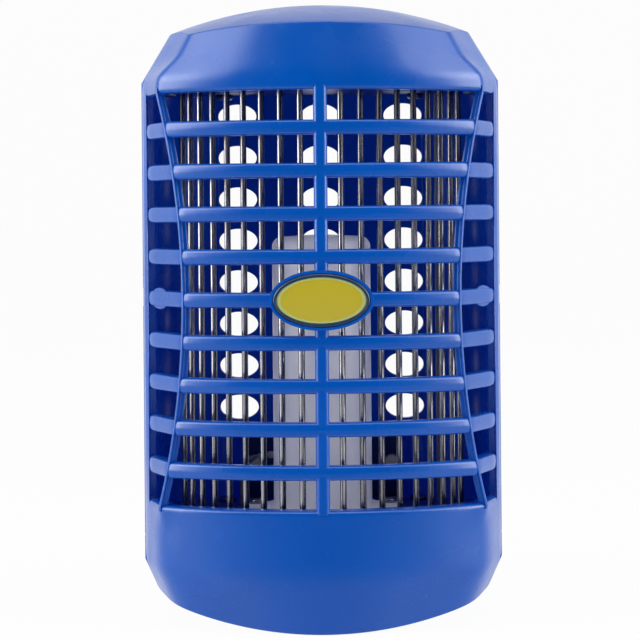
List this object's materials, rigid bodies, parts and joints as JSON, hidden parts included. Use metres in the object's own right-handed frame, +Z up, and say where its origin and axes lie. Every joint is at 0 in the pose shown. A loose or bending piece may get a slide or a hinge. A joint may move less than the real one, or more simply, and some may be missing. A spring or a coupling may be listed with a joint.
{
  "type": "plug-in electric insect zapper",
  "caption": "Upright plug-in electric insect zapper with a blue barred front cover, oval badge, fan of steel rods, milky light tube, vented back shell and mains pins.",
  "frame": {"origin": "middle of the plug block's rear face, on the plane that meets the wall socket", "axes": "+Z up, -Y towards the front, +Y the way the pins point"},
  "size_m": [0.082, 0.0905, 0.1395],
  "materials": {
    "blue_shell": "smooth moulded blue ABS with a soft gloss",
    "badge_dark": "dark teal ring",
    "badge_yellow": "plain yellow face with a pale border",
    "inner_blue": "moulded blue insulating plate",
    "steel": "drawn steel rod",
    "plated_steel": "plated sheet or screw steel",
    "milky": "milky translucent diffuser",
    "board_green": "glass-epoxy board",
    "led_clear": "pale clear resin",
    "black_plastic": "black plastic",
    "film_red": "dipped film capacitor",
    "diode_black": "black epoxy body",
    "resistor_tan": "tan lacquered body",
    "can_sleeve": "dark printed-free sleeve",
    "fuse_glass": "clear fuse body",
    "brass": "plated brass pin",
    "lead_red": "red insulation",
    "lead_grey": "grey insulation"
  },
  "bodies": {
    "housing": {"back_shell": "blue_shell", "lower_grid_plate": "inner_blue", "upper_grid_plate": "inner_blue", "live_rods": "steel", "return_rods": "steel", "live_busbar": "plated_steel", "return_busbar": "plated_steel", "grid_plate_screws": "plated_steel", "light_tube": "milky", "tube_screws": "plated_steel", "led_board": "board_green", "leds": "led_clear", "led_socket": "black_plastic", "circuit_board": "board_green", "board_screws": "plated_steel", "film_capacitors": "film_red", "diodes": "diode_black", "resistors": "resistor_tan", "smoothing_capacitor": "can_sleeve", "fuse": "fuse_glass", "plug_block": "black_plastic", "plug_pins": "brass", "pin_sleeves": "black_plastic", "plug_screws": "plated_steel", "mains_leads": "lead_grey", "live_lead": "lead_red", "return_lead": "lead_red", "lamp_lead": "lead_grey"},
    "cover": {"front_cover": "blue_shell", "badge_bezel": "badge_dark", "badge_plate": "badge_yellow"}
  },
  "joints": [
    {"name": "cover_pull", "type": "slide", "parent": "housing", "child": "cover", "axis": [0, -1, 0], "range_m": [0, 0.045]}
  ]
}
